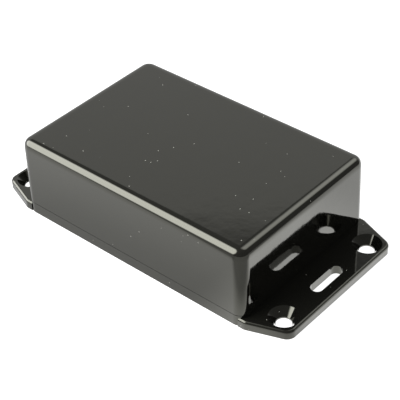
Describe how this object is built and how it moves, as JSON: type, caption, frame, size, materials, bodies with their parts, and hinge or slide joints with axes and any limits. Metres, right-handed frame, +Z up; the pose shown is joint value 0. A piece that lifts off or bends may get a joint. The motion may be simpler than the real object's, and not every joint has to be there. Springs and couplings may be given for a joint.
{
  "type": "flanged project box",
  "caption": "Moulded plastic enclosure with a drafted box on a flanged lid, with countersunk mounting holes and slots, for a small circuit.",
  "frame": {"origin": "centre of the lid's flat underside", "axes": "+X along the long axis towards one flange, +Z up from the mounting surface through the closed top of the box"},
  "size_m": [0.1106, 0.0562, 0.0259],
  "materials": {
    "moulded_abs": "moulded black ABS, semi-gloss",
    "screw_steel": "zinc plated steel"
  },
  "bodies": {
    "root": {"box": "moulded_abs", "flanged_lid": "moulded_abs", "lid_screw_1": "screw_steel", "lid_screw_2": "screw_steel", "lid_screw_3": "screw_steel", "lid_screw_4": "screw_steel"}
  },
  "joints": []
}
